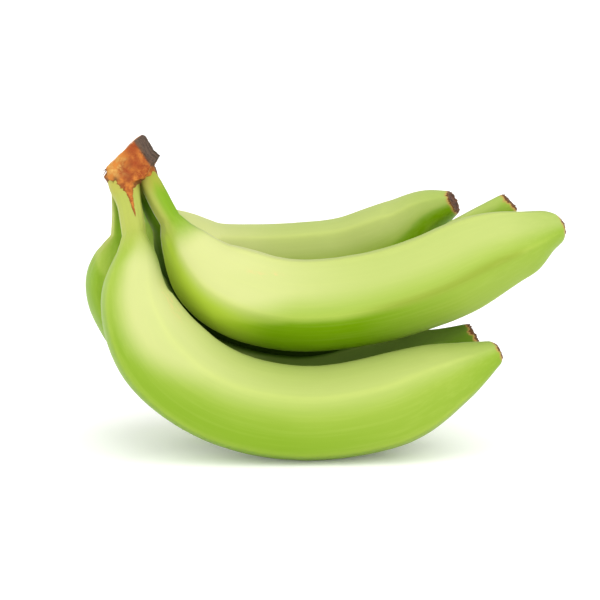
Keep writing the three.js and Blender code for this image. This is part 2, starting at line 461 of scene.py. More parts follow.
# The skin's colours
GREEN = (0.26, 0.365, 0.045)
OUTER_GREEN = (0.140, 0.27, 0.001)
# Painted light: the next colour lightens a flank that a neighbouring finger shades
PAINTED_FLANK_LIGHT = (0.44, 0.60, 0.04)
# Painted shade: the next colour darkens the skin where other fingers lie close
CREVICE_SHADE_GREEN = (0.040, 0.105, 0.0003)
CREASE_OLIVE = (0.15, 0.20, 0.006)
# The pale colour is partly the skin's own and partly a painted highlight
PALE_YELLOW_AND_HIGHLIGHT = (0.50, 0.52, 0.22)
RIDGE_PALE = (0.58, 0.64, 0.16)
FIBRE_PALE = (0.56, 0.62, 0.17)
NECK_PALE = (0.34, 0.37, 0.075)
NECK_GREEN = (0.15, 0.29, 0.006)
COLLAR_OLIVE = (0.40, 0.33, 0.06)
SPECK_BROWN = (0.12, 0.045, 0.015)
SCUFF_TAN = (0.55, 0.36, 0.14)
RUBBED_TAN = (0.62, 0.42, 0.18)
LIP_TAN = (0.42, 0.23, 0.07)

# Shares along a finger at which the neck's colour ends, and the pale band, a paler tone with a painted
# highlight, starts, fades, and swells at the shoulder
NECK_END = (0.10, 0.19)
PALE_START = (0.11, 0.20)
PALE_FADE = (0.26, 0.62)
SHOULDER_START = (0.12, 0.2)
SHOULDER_END = (0.46, 0.28)

# Distances from the tip and the root, in metres, over which their colours set in
TIP_GREEN = (0.035, 0.0)
LIP_RANGE = (0.0022, 0.0006)
LIP_EDGE = (0.0009, 0.0003)
COLLAR_RANGE = (0.016, 0.006)

SKIN_ROUGHNESS = 0.38
SKIN_IOR = 1.45
SKIN_GLOSS = 0.08


def pale_and_highlight_band(n, along, patches):
    """Paler tone with a painted highlight: most over the shoulder, and along the inner side and its flanks.
    """
    inner = n.attribute("inner")
    tone = n.attribute("tone")
    wander = n.times(n.less(patches, 0.5), 0.3)
    shoulder = n.times(n.step(along, *SHOULDER_START), n.step(along, *SHOULDER_END))
    reach = n.plus(n.plus(inner, wander), n.plus(n.times(tone, 0.8), n.times(shoulder, 0.6)))
    around = n.times(n.step(reach, 0.35, 1.05), n.less(1, n.times(n.step(inner, 0.72, 1.05), 0.15)))
    lengthwise = n.times(n.step(along, *PALE_START), n.less(1, n.times(n.step(along, *PALE_FADE), 0.5)))
    return n.times(around, lengthwise, n.plus(0.55, n.times(tone, 0.5)))


def rubbed_marks(n, skin, base):
    """Small brown specks and tan scuffs in a few rubbed places, and in each finger's own ones."""
    rubbed = n.step(n.noise(skin, (34, 34, 20), 3), 0.60, 0.74)
    specks = n.dots(n.scaled(skin, (260, 260, 200)), 1, 0.02, 0.09)
    base = n.mix(n.times(specks, rubbed, 0.5), base, SPECK_BROWN)
    scuffs = n.step(n.noise(skin, (420, 420, 120), 5, 0.7), 0.62, 0.72)
    base = n.mix(n.times(scuffs, rubbed, 0.35), base, SCUFF_TAN)
    own = n.step(n.noise(skin, (700, 700, 240), 4), 0.46, 0.62)
    return n.mix(n.times(own, n.attribute("scuff"), 0.45), base, RUBBED_TAN)


def end_colours(n, tip, fibres, base):
    """A thin tan lip round the blossom scar, and tan streaks below the crown."""
    uneven = n.less(fibres, 0.5)
    lip = n.plus(tip, n.times(uneven, 0.004))
    base = n.mix(n.times(n.step(lip, *LIP_RANGE), 0.85), base, LIP_TAN)
    base = n.mix(n.step(lip, *LIP_EDGE), base, SPECK_BROWN)
    collar = n.plus(n.attribute("root_distance"), n.times(uneven, 0.010))
    return n.mix(n.times(n.step(collar, *COLLAR_RANGE), 0.5), base, COLLAR_OLIVE)


def green_skin():
    """Unripe peel, pale over the shoulder and inner side, greener outside; highlight and shade painted in,
    darkest near other fingers.
    """
    n = Nodes("green_skin")
    skin = n.attribute("skin", "Vector")
    along = n.attribute("along")
    tip = n.attribute("tip_distance")
    crevice_shade = n.attribute("crevice_shade")
    patches = n.noise(skin, (26, 26, 8), 2)
    fibres = n.noise(skin, (620, 620, 22), 4, 0.6)
    grain = n.noise(skin, (1500, 1500, 700), 2)

    # Outer green: partly the skin's own, partly painted shade on the outer side
    base = n.mix(n.attribute("outer_green_and_shade"), GREEN, OUTER_GREEN)
    # Pale band: partly the shoulder's own paler tone, partly a painted highlight
    base = n.mix(pale_and_highlight_band(n, along, patches), base, PALE_YELLOW_AND_HIGHLIGHT)

    # The neck is pale, with one side greener, and the tip is greener
    neck = n.mix(n.attribute("neck_green"), NECK_PALE, NECK_GREEN)
    base = n.mix(n.times(n.less(1, n.step(along, *NECK_END)), 0.9), base, neck)
    base = n.mix(n.times(n.step(tip, *TIP_GREEN), 0.30), base, OUTER_GREEN)

    # Ridges a little paler, and fibres and patches as slight shifts of tone
    base = n.mix(n.times(n.attribute("ridge"), 0.12), base, RIDGE_PALE)
    base = n.mix(n.attribute("crease"), base, CREASE_OLIVE)
    base = n.mix(n.times(n.step(fibres, 0.42, 0.75), 0.06), base, FIBRE_PALE)
    base = n.mix(n.times(n.step(patches, 0.52, 0.75), 0.12), base, OUTER_GREEN)

    # Painted light: a lighter green on the flank that the next finger shades
    base = n.mix(n.attribute("painted_flank_light"), base, PAINTED_FLANK_LIGHT)
    # Painted shade: near-black green where other fingers lie close
    base = n.mix(n.times(crevice_shade, 0.92), base, CREVICE_SHADE_GREEN)
    base = rubbed_marks(n, skin, base)
    base = end_colours(n, tip, fibres, base)

    n.set("Base Color", base)
    rough = n.plus(SKIN_ROUGHNESS, n.times(n.less(grain, 0.5), 0.12))
    rough = n.plus(rough, n.times(crevice_shade, 0.5))
    n.set("Roughness", n.plus(rough, n.times(n.step(patches, 0.4, 0.7), 0.06)))
    n.set("IOR", SKIN_IOR)
    n.set("Specular IOR Level", SKIN_GLOSS)
    n.bump(n.plus(n.times(fibres, 0.6), n.times(grain, 0.4)), 0.15, 0.0003)
    return n.material


# The crown's colours, where it is torn and where it is cut and dried
TORN_RED = (0.26, 0.050, 0.008)
TORN_ORANGE = (0.52, 0.18, 0.028)
TORN_BLOTCH = (0.20, 0.032, 0.007)
TORN_FLECK = (0.64, 0.30, 0.08)
TORN_STRAND = (0.20, 0.06, 0.02)
LIGHT_SPOT = (0.58, 0.33, 0.08)
RED_SPOT = (0.26, 0.04, 0.008)
DARK_SPOT = (0.05, 0.03, 0.010)
WORN_TAN = (0.66, 0.46, 0.26)
DRIED_DARK = (0.045, 0.024, 0.014)
DRIED_BROWN = (0.105, 0.058, 0.034)
DRIED_PALE = (0.15, 0.092, 0.060)
DRIED_PORE = (0.035, 0.022, 0.015)
DRIED_FLECK = (0.20, 0.135, 0.09)
DRIED_SPOT = (0.030, 0.018, 0.006)
HEM_BROWN = (0.13, 0.06, 0.018)
TISSUE_ROUGHNESS = 0.62
TISSUE_GLOSS = 0.2


def crown_tissue():
    """Torn orange-brown tissue with red-brown spots, tan worn edges and a grey-brown dried cut face."""
    n = Nodes("crown_tissue")
    place = n.add("ShaderNodeTexCoord").outputs["Object"]
    cut = n.attribute("cut_face")
    dark_spot = n.attribute("dark_spot")
    mottle = n.noise(place, 300, 5, 0.65)
    blotch = n.noise(place, 130, 3, distortion=0.8)
    fine = n.noise(place, 1500, 4, 0.7)
    strands = n.noise(place, (900, 900, 160), 4, 0.6)

    torn = n.mix(n.step(mottle, 0.35, 0.65), TORN_RED, TORN_ORANGE)
    torn = n.mix(n.times(n.step(blotch, 0.5, 0.68), 0.8), torn, TORN_BLOTCH)
    torn = n.mix(n.times(n.step(fine, 0.58, 0.75), 0.5), torn, TORN_FLECK)
    torn = n.mix(n.times(n.step(strands, 0.62, 0.78), 0.35), torn, TORN_STRAND)
    torn = n.mix(n.times(n.attribute("light_spot"), n.step(mottle, 0.62, 0.38)), torn, LIGHT_SPOT)
    torn = n.mix(n.times(n.attribute("red_spot"), n.step(mottle, 0.25, 0.6)), torn, RED_SPOT)
    torn = n.mix(n.times(dark_spot, 0.85), torn, DARK_SPOT)
    bare = n.plus(0.25, n.times(n.step(mottle, 0.42, 0.6), 0.5))
    torn = n.mix(n.times(n.attribute("worn_edge"), bare), torn, WORN_TAN)

    pores = n.dots(place, 480, 0.10, 0.34)
    dried = n.mix(n.step(mottle, 0.35, 0.7), DRIED_DARK, DRIED_BROWN)
    dried = n.mix(n.times(n.step(blotch, 0.45, 0.62), 0.45), dried, DRIED_PALE)
    dried = n.mix(n.times(pores, 0.6), dried, DRIED_PORE)
    dried = n.mix(n.times(n.step(fine, 0.6, 0.75), 0.4), dried, DRIED_FLECK)
    dried = n.mix(dark_spot, dried, DRIED_SPOT)

    base = n.mix(cut, torn, dried)
    n.set("Base Color", n.mix(n.times(n.attribute("hem"), 0.75), base, HEM_BROWN))
    n.set("Roughness", n.plus(TISSUE_ROUGHNESS, n.times(fine, 0.3)))
    n.set("Specular IOR Level", TISSUE_GLOSS)
    height = n.plus(n.times(mottle, 0.6), n.times(fine, 0.4))
    n.bump(n.less(height, n.times(pores, cut, 0.5)), 0.7, 0.0008)
    return n.material


SCAR_DARK = (0.024, 0.008, 0.004)
SCAR_BROWN = (0.125, 0.045, 0.018)
SCAR_RIM = (0.30, 0.17, 0.07)
SCAR_ROUGHNESS = 0.85


def blossom_scar():
    """The dry dark end where the flower was."""
    n = Nodes("blossom_scar")
    place = n.add("ShaderNodeTexCoord").outputs["Object"]
    mottle = n.noise(place, 600, 5, 0.7)
    fine = n.noise(place, 2400, 3)
    base = n.mix(n.step(mottle, 0.35, 0.65), SCAR_DARK, SCAR_BROWN)
    base = n.mix(n.times(n.attribute("rim"), n.step(fine, 0.35, 0.7)), base, SCAR_RIM)
    n.set("Base Color", base)
    n.set("Roughness", SCAR_ROUGHNESS)
    n.bump(n.plus(mottle, fine), 0.8, 0.0006)
    return n.material


# Meshes


def new_piece(name, points, faces, material):
    """A piece with outward faces, from drawing points."""
    mesh = bpy.data.meshes.new(name)
    mesh.from_pydata([tuple(p) for p in to_frame(points)], [], faces)
    fix_normals(mesh)
    return placed(name, mesh, material)


def placed(name, mesh, material):
    mesh.materials.clear()
    mesh.materials.append(material)
    mesh.polygons.foreach_set("use_smooth", [True] * len(mesh.polygons))
    piece = put_in_scene(name, mesh)
    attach(piece, "root")
    return piece


def fix_normals(mesh):
    work = bmesh.new()
    work.from_mesh(mesh)
    bmesh.ops.recalc_face_normals(work, faces=work.faces)
    work.to_mesh(mesh)
    work.free()


def put_attribute(mesh, name, values):
    values = np.asarray(values, np.float32)
    kind, key = ("FLOAT_VECTOR", "vector") if values.ndim == 2 else ("FLOAT", "value")
    layer = mesh.attributes.new(name, kind, "POINT")
    layer.data.foreach_set(key, values.ravel())


def tube_faces(rings, sides):
    """Quads between neighbouring rings of points."""
    faces = []
    for i in range(rings - 1):
        for j in range(sides):
            k = (j + 1) % sides
            faces.append((i * sides + j, i * sides + k, (i + 1) * sides + k, (i + 1) * sides + j))
    return faces


def closed_tube_faces(rings, sides):
    """The faces of a tube, with one more over each end."""
    last = (rings - 1) * sides
    return tube_faces(rings, sides) + [tuple(reversed(range(sides))), tuple(range(last, last + sides))]


def skin_noise(points, scale, seed):
    """Smooth noise from -1 to 1 at each point, one lobe about 1/scale apart."""
    offset = Vector((seed * 7.3, seed * 3.1, seed * 5.7))
    return np.array([noise.noise(Vector(p) * scale + offset) for p in points])


def degrees_from(degrees, side):
    return (degrees - side + 180) % 360 - 180


# Fingers

# Relief of the skin, in millimetres: slow swells, small dents, a crest on each ridge, and ribs on the neck
SWELL_LENGTH = 28
SWELL_HEIGHT = 0.25
DENT_LENGTH = 9
DENT_HEIGHT = 0.10
CREST_HEIGHT = 0.22
CREST_WIDTH = 0.075
CREST_RANGE = (0.14, 0.3, 0.9, 1)
RIB_HEIGHT = 0.45
RIB_SCALE = np.array([0.42, 0.42, 0.03])
RIB_FADE = 24
RELIEF_START = (4, 16)

# The skin rounds in over this length at the blossom end, a slant starts at this length before it, and the
# scar lies over a ring that is narrowed and sunk by these amounts
TIP_ROUND_LENGTH = 2.6
SLANT_LENGTH = 14
SCAR_NARROWING = 0.8
SCAR_SINK = 1.6

# The deep outer green, partly its own and partly painted shade: the length of its edge's wandering, how far
# that goes, and the edge's usual softness
EDGE_LENGTH = 26
EDGE_WANDER = 0.09
DEEP_EDGE = 0.11

# Where the painted flank light, the olive crease and the painted shade lie, as shares along and as sides in
# degrees
FLANK_RANGE = (0.12, 0.18, 0.29, 0.41)
FLANK_START = (92, 122)
FLANK_END = 230
CREASE_RANGE = (0.5, 0.66, 0.84, 0.93)
CREASE_SIDE = 100
CREASE_WIDTH = 0.10
SHADE_START = (0.42, 0.6)
SHADE_SIDE = 60
SHADE_EDGE = (0.1, 0.6)
PAINTED_SHADE_STRENGTH = 0.6
NECK_GREEN_EDGE = (0.1, 0.8)

# Sections of the other fingers that are enough to measure how close they lie
CREVICE_RINGS = 60
CREVICE_SIDES = 4


def ridge_angle(sweep):
    """Angle from the nearest ridge, at each side."""
    return np.mod(sweep.from_flat, 2 * np.pi / RIDGES) - np.pi / RIDGES


def crests(sweep, u):
    """1 on the crest of each ridge along the body, 0 away from it."""
    return np.exp(-(ridge_angle(sweep) / CREST_WIDTH) ** 2)[None, :] * band(u, *CREST_RANGE)[:, None]


def skin_relief(finger, sweep, straight):
    """How far the skin stands off the plain section, in millimetres."""
    flat = straight.reshape(-1, 3)
    shape = sweep.radius.shape
    seed = finger["seed"]
    swell = skin_noise(flat, 1 / SWELL_LENGTH, seed).reshape(shape) * SWELL_HEIGHT
    dents = skin_noise(flat, 1 / DENT_LENGTH, seed + 1).reshape(shape) * DENT_HEIGHT
    ribs = skin_noise(flat * RIB_SCALE, 1, seed + 2).reshape(shape) * RIB_HEIGHT
    neck = (1 - smoothstep(sweep.distance, finger["stalk"], finger["stalk"] + RIB_FADE))[:, None]
    started = smoothstep(sweep.distance, *RELIEF_START)[:, None]
    relief = (swell + dents + ribs * neck) * started + crests(sweep, sweep.u) * CREST_HEIGHT
    to_tip = (sweep.length - sweep.distance)[:, None]
    for place, side, height, long, wide in finger.get("bumps", []):
        turned = degrees_from(np.degrees(sweep.angle), side)[None, :]
        relief += height * np.exp(-((to_tip - place) / long) ** 2 - (turned / wide) ** 2)
    return relief


def peel_points(finger, sweep, straight):
    """Rings of the skin in drawing millimetres, with one more that is sunk into the blossom end."""
    to_tip = (sweep.length - sweep.distance)[:, None]
    lean = finger.get("slant", 0) * np.sin(sweep.angle)[None, :] * sweep.radius
    slant = lean * (1 - smoothstep(to_tip, 0, SLANT_LENGTH))
    rounded = 1 - finger["tip_round"] * (1 - np.clip(to_tip / TIP_ROUND_LENGTH, 0, 1)) ** 2
    points = sweep.points((sweep.radius + skin_relief(finger, sweep, straight)) * rounded, slant)
    points[..., 2] = np.maximum(points[..., 2], SURFACE)
    end = sweep.centre[-1]
    sunk = end + (points[-1] - end) * SCAR_NARROWING - sweep.tangent[-1] * SCAR_SINK
    return np.concatenate([points, sunk[None]])


def skin_values(name, finger, sweep, straight, points):
    """What the skin's material reads at each point."""
    shape = points.shape[:2]
    u = np.append(sweep.u, 1.0)
    distance = np.append(sweep.distance, sweep.length)[:, None]
    inner = np.cos(sweep.angle)[None, :]
    degrees = np.degrees(sweep.angle)[None, :]

    # Outer green, partly the skin's own and partly painted shade on the outer side
    wander = skin_noise(straight.reshape(-1, 3), 1 / EDGE_LENGTH, finger["seed"] + 8) * EDGE_WANDER
    below = np.interp(u, *zip(*finger["edge"]))[:, None] - (inner + wander.reshape(shape))
    soft = finger.get("soft", DEEP_EDGE)
    outer_green_and_shade = np.interp(u, *zip(*finger["outer_green_and_shade"]))[:, None] * smoothstep(below, -soft, soft)

    # Painted light on the shoulder's flank
    painted_flank_light = band(u, *FLANK_RANGE)[:, None] * smoothstep(degrees, *FLANK_START) * (degrees < FLANK_END)
    front_ridge = np.abs(degrees - CREASE_SIDE) < 180 / RIDGES
    line = np.exp(-(ridge_angle(sweep) / CREASE_WIDTH) ** 2)[None, :] * front_ridge
    # Painted shade over the top of the outer half, and in each finger's listed places
    on_top = smoothstep(np.cos(sweep.angle - math.radians(SHADE_SIDE)), *SHADE_EDGE)
    shade = smoothstep(u, *SHADE_START)[:, None] * on_top * finger.get("shade", 0)
    shade = shade + places(finger.get("painted_shade_places", []), u[:, None], degrees) * PAINTED_SHADE_STRENGTH
    green_side = np.cos(sweep.angle - math.radians(finger["green_side"]))[None, :]
    values = {
        "inner": inner,
        "along": u[:, None],
        "tip_distance": (sweep.length - distance) * MM,
        "root_distance": distance * MM,
        "ridge": crests(sweep, u),
        "tone": finger["tone"],
        "outer_green_and_shade": outer_green_and_shade,
        "painted_flank_light": painted_flank_light * finger.get("painted_flank_light", 0),
        "crease": line * band(u, *CREASE_RANGE)[:, None] * finger.get("crease", 0),
        "scuff": places(finger.get("scuffs", []), u[:, None], degrees),
        "crevice_shade": np.maximum(crevice_shading(name, points.reshape(-1, 3)).reshape(shape), shade),
        "neck_green": smoothstep(green_side, *NECK_GREEN_EDGE),
    }
    return {kind: np.broadcast_to(value, shape).ravel() for kind, value in values.items()}


def places(listed, u, degrees):
    """1 in the middle of each listed place on a finger, 0 away from them."""
    strength = np.zeros(np.broadcast(u, degrees).shape)
    for place, side, long, wide in listed:
        turned = degrees_from(degrees, side)
        strength = np.maximum(strength, np.exp(-((u - place) / long) ** 2 - (turned / wide) ** 2))
    return strength


def crevice_shading(name, points):
    """Painted shade: 1 where another finger lies close to the skin, 0 from the finger's own distance on."""
    closest = np.full(len(points), np.inf)
    for other, finger in FINGERS.items():
        if other == name:
            continue
        sweep = Sweep(finger, CREVICE_RINGS, CREVICE_SIDES)
        radius = finger_radius(finger, sweep.distance, sweep.length)
        for centre, mean in zip(sweep.centre, radius):
            closest = np.minimum(closest, np.linalg.norm(points - centre, axis=1) - mean)
    return 1 - smoothstep(closest, *FINGERS[name]["crevice_shade"])


def make_finger(name, finger, material):
    """One finger's skin, from its root in the crown to the blossom end."""
    sweep = Sweep(finger, RINGS, SIDES, finger.get("turn", 0))
    across = sweep.radius * np.cos(sweep.angle), sweep.radius * np.sin(sweep.angle)
    straight = np.stack([*across, np.broadcast_to(sweep.distance[:, None], sweep.radius.shape)], -1)
    points = peel_points(finger, sweep, straight)
    straight = np.concatenate([straight, straight[-1:]])
    faces = closed_tube_faces(*points.shape[:2])
    piece = new_piece(name + "_peel", points.reshape(-1, 3), faces, material)
    put_attribute(piece.data, "skin", straight.reshape(-1, 3) * MM)
    for kind, values in skin_values(name, finger, sweep, straight, points).items():
        put_attribute(piece.data, kind, values)
    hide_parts(name)


# The blossom scar: share of the tip's radius, and height past the finger's end, from the skin to the middle
SCAR_PROFILE = [(0.72, -2.2), (0.90, -1.3), (0.965, -0.35), (0.96, 0.05), (0.92, 0.25), (0.86, 0.15),
                (0.78, -0.1), (0.68, -0.4), (0.52, -0.6), (0.36, -0.5), (0.22, -0.1), (0.10, 0.15)]
SCAR_SIDES = 72
SCAR_BACK = -2.2
SCAR_FRONT = 0.3
SCAR_RIM_SHARE = 0.93
SCAR_RIM_WIDTH = 0.07
SCAR_ROUGH = 0.3
SCAR_ROUGH_ACROSS = 0.12


def make_scar(name, finger, material):
    """The dried flower's scar: a dark dished disc with a ragged rim."""
    sweep = Sweep(finger, RINGS, SCAR_SIDES, finger.get("turn", 0))
    centre, tangent = sweep.centre[-1], sweep.tangent[-1]
    inner, across = sweep.inner[-1], sweep.across[-1]
    rim_radius = sweep.radius[-1] * (1 - finger["tip_round"])
    directions = np.cos(sweep.angle)[:, None] * inner + np.sin(sweep.angle)[:, None] * across
    ragged = np.maximum(0, skin_noise(directions * 5, 1, finger["seed"] + 5)) * finger["scar_lip"]
    lean = finger.get("slant", 0) * rim_radius * np.sin(sweep.angle)
    rings, rims = [], []
    for share, height in SCAR_PROFILE:
        ring = centre + directions * (rim_radius * share)[:, None]
        rough = skin_noise(ring, 0.9, finger["seed"] + 4)
        at_rim = math.exp(-((share - SCAR_RIM_SHARE) / SCAR_RIM_WIDTH) ** 2)
        lift = height + rough * SCAR_ROUGH + at_rim * ragged + lean * share
        rings.append(ring + tangent * lift[:, None] + directions * (rough * SCAR_ROUGH_ACROSS)[:, None])
        rims.append(np.full(SCAR_SIDES, at_rim))
    count = len(rings) * SCAR_SIDES
    points = np.vstack([*rings, centre + tangent * SCAR_BACK, centre + tangent * SCAR_FRONT])
    faces = tube_faces(len(rings), SCAR_SIDES)
    for j in range(SCAR_SIDES):
        k = (j + 1) % SCAR_SIDES
        faces.append((count, k, j))
        faces.append((count - SCAR_SIDES + j, count - SCAR_SIDES + k, count + 1))
    piece = new_piece(name + "_blossom_scar", points, faces, material)
    put_attribute(piece.data, "rim", np.concatenate([*rims, [0, 0]]))


# Crown

# How far down each stalk the crown's tissue reaches, in millimetres along it, at sides in degrees
HEMS = {
    "finger_front_lower": [(0, 8.2), (32, 8.6), (60, 10.5), (76, 12.5), (91, 10.9), (101, 8.2), (113, 5.4),
                           (143, 3.4), (200, 4.0), (280, 6.5)],
    "finger_front_upper": [(0, 3.5), (90, 3.8), (200, 5.5), (300, 3.5)],
    "finger_middle_upper": [(0, 6), (120, 7), (200, 6), (300, 9)],
    "finger_back_upper": [(0, 6), (90, 8.5), (180, 7), (250, 11), (300, 7)],
    "finger_back_lower": [(0, 6), (90, 4), (150, 5), (200, 10), (260, 7)],
}
COLLAR_WALL = 1.3
COLLAR_LEAST = -2.2
COLLAR_REACH = 30
COLLAR_SIDES = 48
HEM_RAGGEDNESS = 0.9
HEM_LOBES = 4.5
HEM_FADE = (0.15, 0.8)
HEM_TOP = 136

CROWN_VOXEL = 0.55
CROWN_SMOOTHING = 0.5
CROWN_SMOOTH_ROUNDS = 3

# The dried cut face is what lies near this side of the outline, from a height on
CUT_LINE = np.array([[-79.5, 153.0], [-71.5, 141.0]])
CUT_DEPTH = (-1.0, -0.2)
CUT_HEIGHT = (138, 141)

# Relief of the torn tissue: length of a lobe, height in millimetres and seed; then of its fine strands
TORN_RELIEF = [(6, 0.55, 51), (2.2, 0.28, 52), (0.9, 0.12, 53)]
STRAND_SCALE = np.array([1, 1, 0.35])
STRAND_LENGTH = 1.6
STRAND_HEIGHT = 0.14
STRAND_SEED = 54

# Relief of the cut face: the same middle and fine lobes, lower, and a swelling towards the top
CUT_MIDDLE_HEIGHT = 0.22
CUT_FINE_HEIGHT = 0.16
CUT_SWELL = 0.35
CUT_SWELL_RANGE = (143, 151)

# Below the slab, the relief dies down to this share
SLAB_RANGE = (130, 135)
COLLAR_RELIEF = 0.35

# The worn upper left face: the direction that it faces, how nearly, and where it starts in height
WORN_DIRECTION = np.array([-0.66, 0, 0.75])
WORN_FACING = (0.5, 0.85)
WORN_HEIGHT = (141, 144)

# Places on the crown that are lighter, redder or darker than the rest, and their radii
CROWN_SPOTS = {
    "light_spot": [((-90.0, 17, 140.5), 5.5), ((-86.5, 18, 145.5), 3.0)],
    "red_spot": [((-81.2, 17, 149.2), 4.0), ((-79.4, 17, 142.5), 3.2), ((-83.6, 17, 137.4), 2.8)],
    "dark_spot": [((-72.6, 61, 143.5), 6.0), ((-72.0, 42, 142.0), 5.0), ((-71.5, 30, 138.6), 3.6),
                  ((-71.5, 47, 138.0), 4.5), ((-95.3, 25, 135.5), 3.2), ((-94.6, 18, 138.5), 1.4)],
}


def collar_piece(finger, hem):
    """Solid sleeve round a stalk's root that thins out along a ragged hem."""
    sweep = Sweep(finger, RINGS, COLLAR_SIDES)
    cos, sin = np.cos(sweep.angle), np.sin(sweep.angle)
    reach = np.interp(np.degrees(sweep.angle), *zip(*hem), period=360)
    circle = np.stack([cos, sin, np.full(sweep.angle.shape, finger["seed"])], 1)
    reach += skin_noise(circle * HEM_LOBES, 1, finger["seed"] + 6) * HEM_RAGGEDNESS
    wall = np.maximum(COLLAR_WALL * (1 - sweep.distance[:, None] / reach[None, :]), COLLAR_LEAST)
    points = sweep.points(sweep.radius + wall)[sweep.distance < COLLAR_REACH]
    return points.reshape(-1, 3), closed_tube_faces(*points.shape[:2])


def slab_piece():
    """The crown's slab, in drawing millimetres."""
    count = len(CROWN_OUTLINE)
    points = [(x, y, z) for y in (CROWN_FRONT, CROWN_BACK) for x, z in CROWN_OUTLINE]
    return np.array(points, float), closed_tube_faces(2, count)


def remeshed(parts):
    """One skin round several closed parts, as a mesh."""
    points, faces = [], []
    for part_points, part_faces in parts:
        start = sum(len(p) for p in points)
        points.append(part_points)
        faces += [tuple(start + i for i in face) for face in part_faces]
    mesh = bpy.data.meshes.new("crown_parts")
    mesh.from_pydata([tuple(p) for p in np.vstack(points)], [], faces)
    fix_normals(mesh)
    holder = put_in_scene("crown_parts", mesh)
    remesh = holder.modifiers.new("skin", "REMESH")
    remesh.mode = "VOXEL"
    remesh.voxel_size = CROWN_VOXEL
    soft = holder.modifiers.new("soft", "SMOOTH")
    soft.factor = CROWN_SMOOTHING
    soft.iterations = CROWN_SMOOTH_ROUNDS
    done = bpy.data.meshes.new_from_object(holder.evaluated_get(bpy.context.evaluated_depsgraph_get()))
    bpy.data.objects.remove(holder)
    bpy.data.meshes.remove(mesh)
    return done


def vertex_values(mesh, key):
    values = np.empty(len(mesh.vertices) * 3)
    mesh.vertices.foreach_get(key, values)
    return values.reshape(-1, 3)


def cut_face(place):
    """1 on the dried cut face, 0 away from it."""
    line = CUT_LINE[0] - CUT_LINE[1]
    out = np.array([line[1], -line[0]]) / np.linalg.norm(line)
    depth = (place[:, [0, 2]] - CUT_LINE[0]) @ out
    return smoothstep(depth, *CUT_DEPTH) * smoothstep(place[:, 2], *CUT_HEIGHT)


def crown_relief(place, cut):
    """How far the crown's skin stands off its plain shape, in millimetres."""
    coarse, middle, fine = (skin_noise(place, 1 / length, seed) for length, _, seed in TORN_RELIEF)
    strands = 1 - np.abs(skin_noise(place * STRAND_SCALE, 1 / STRAND_LENGTH, STRAND_SEED)) * 2
    torn = sum(lobes * height for lobes, (_, height, _) in zip((coarse, middle, fine), TORN_RELIEF))
    torn += strands * STRAND_HEIGHT
    dried = middle * CUT_MIDDLE_HEIGHT + fine * CUT_FINE_HEIGHT
    dried += CUT_SWELL * smoothstep(place[:, 2], *CUT_SWELL_RANGE)
    share = COLLAR_RELIEF + (1 - COLLAR_RELIEF) * smoothstep(place[:, 2], *SLAB_RANGE)
    return (torn * (1 - cut) + dried * cut) * share


def spots(place, listed):
    """1 in the middle of each listed place on the crown, 0 away from them."""
    strength = np.zeros(len(place))
    for centre, radius in listed:
        away = np.linalg.norm(place - np.array(centre), axis=1)
        strength = np.maximum(strength, np.exp(-(away / radius) ** 2))
    return strength


def hem_closeness(place):
    """1 where the tissue thins out over a stalk, 0 where it is thicker."""
    closest = np.full(len(place), np.inf)
    low = place[:, 2] < HEM_TOP
    for finger in FINGERS.values():
        sweep = Sweep(finger, RINGS, CREVICE_SIDES)
        keep = sweep.distance < COLLAR_REACH
        mean = finger_radius(finger, sweep.distance[keep], sweep.length)
        gap = np.linalg.norm(place[low][:, None] - sweep.centre[keep][None], axis=2) - mean[None]
        closest[low] = np.minimum(closest[low], gap.min(1))
    return 1 - smoothstep(closest, *HEM_FADE)


def make_crown(material):
    """The slab and its collars under one torn skin."""
    collars = [collar_piece(FINGERS[name], hem) for name, hem in HEMS.items()]
    mesh = remeshed([slab_piece(), *collars])
    mesh.name = "crown_tissue"
    place = vertex_values(mesh, "co")
    normal = vertex_values(mesh, "normal")
    cut = cut_face(place)
    place = place + normal * crown_relief(place, cut)[:, None]
    worn = smoothstep(normal @ WORN_DIRECTION, *WORN_FACING) * smoothstep(place[:, 2], *WORN_HEIGHT)
    mesh.vertices.foreach_set("co", to_frame(place).ravel())
    mesh.update()
    piece = placed("crown_tissue", mesh, material)
    put_attribute(mesh, "cut_face", cut)
    put_attribute(mesh, "worn_edge", worn * (1 - cut))
    put_attribute(mesh, "hem", hem_closeness(place))
    for kind, listed in CROWN_SPOTS.items():
        put_attribute(mesh, kind, spots(place, listed))
    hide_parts("crown")


# The tongue: distances down the front lower stalk, half widths, and the sides that its middle lies on
TONGUE_DISTANCE = (5.0, 8.6, 11.8, 15.0, 18.2, 21.8, 24.6, 26.8)
TONGUE_HALF_WIDTH = (5.0, 4.2, 2.3, 1.3, 0.9, 0.66, 0.42, 0.08)
TONGUE_ANGLE = (73, 72, 72, 70, 69, 68, 64, 64)
TONGUE_THICKNESS = 0.75
TONGUE_THINNING = 0.65
TONGUE_THIN_FROM = 9
TONGUE_SINK = 0.1
TONGUE_SIDES = 20
TONGUE_RINGS = 60
TONGUE_WOBBLE = 0.25
TONGUE_RAGGEDNESS = 0.22
TONGUE_DARK_EDGE = 0.8
TONGUE_DARK_TIP = 0.45
TONGUE_DARK_RANGE = (17, 25)


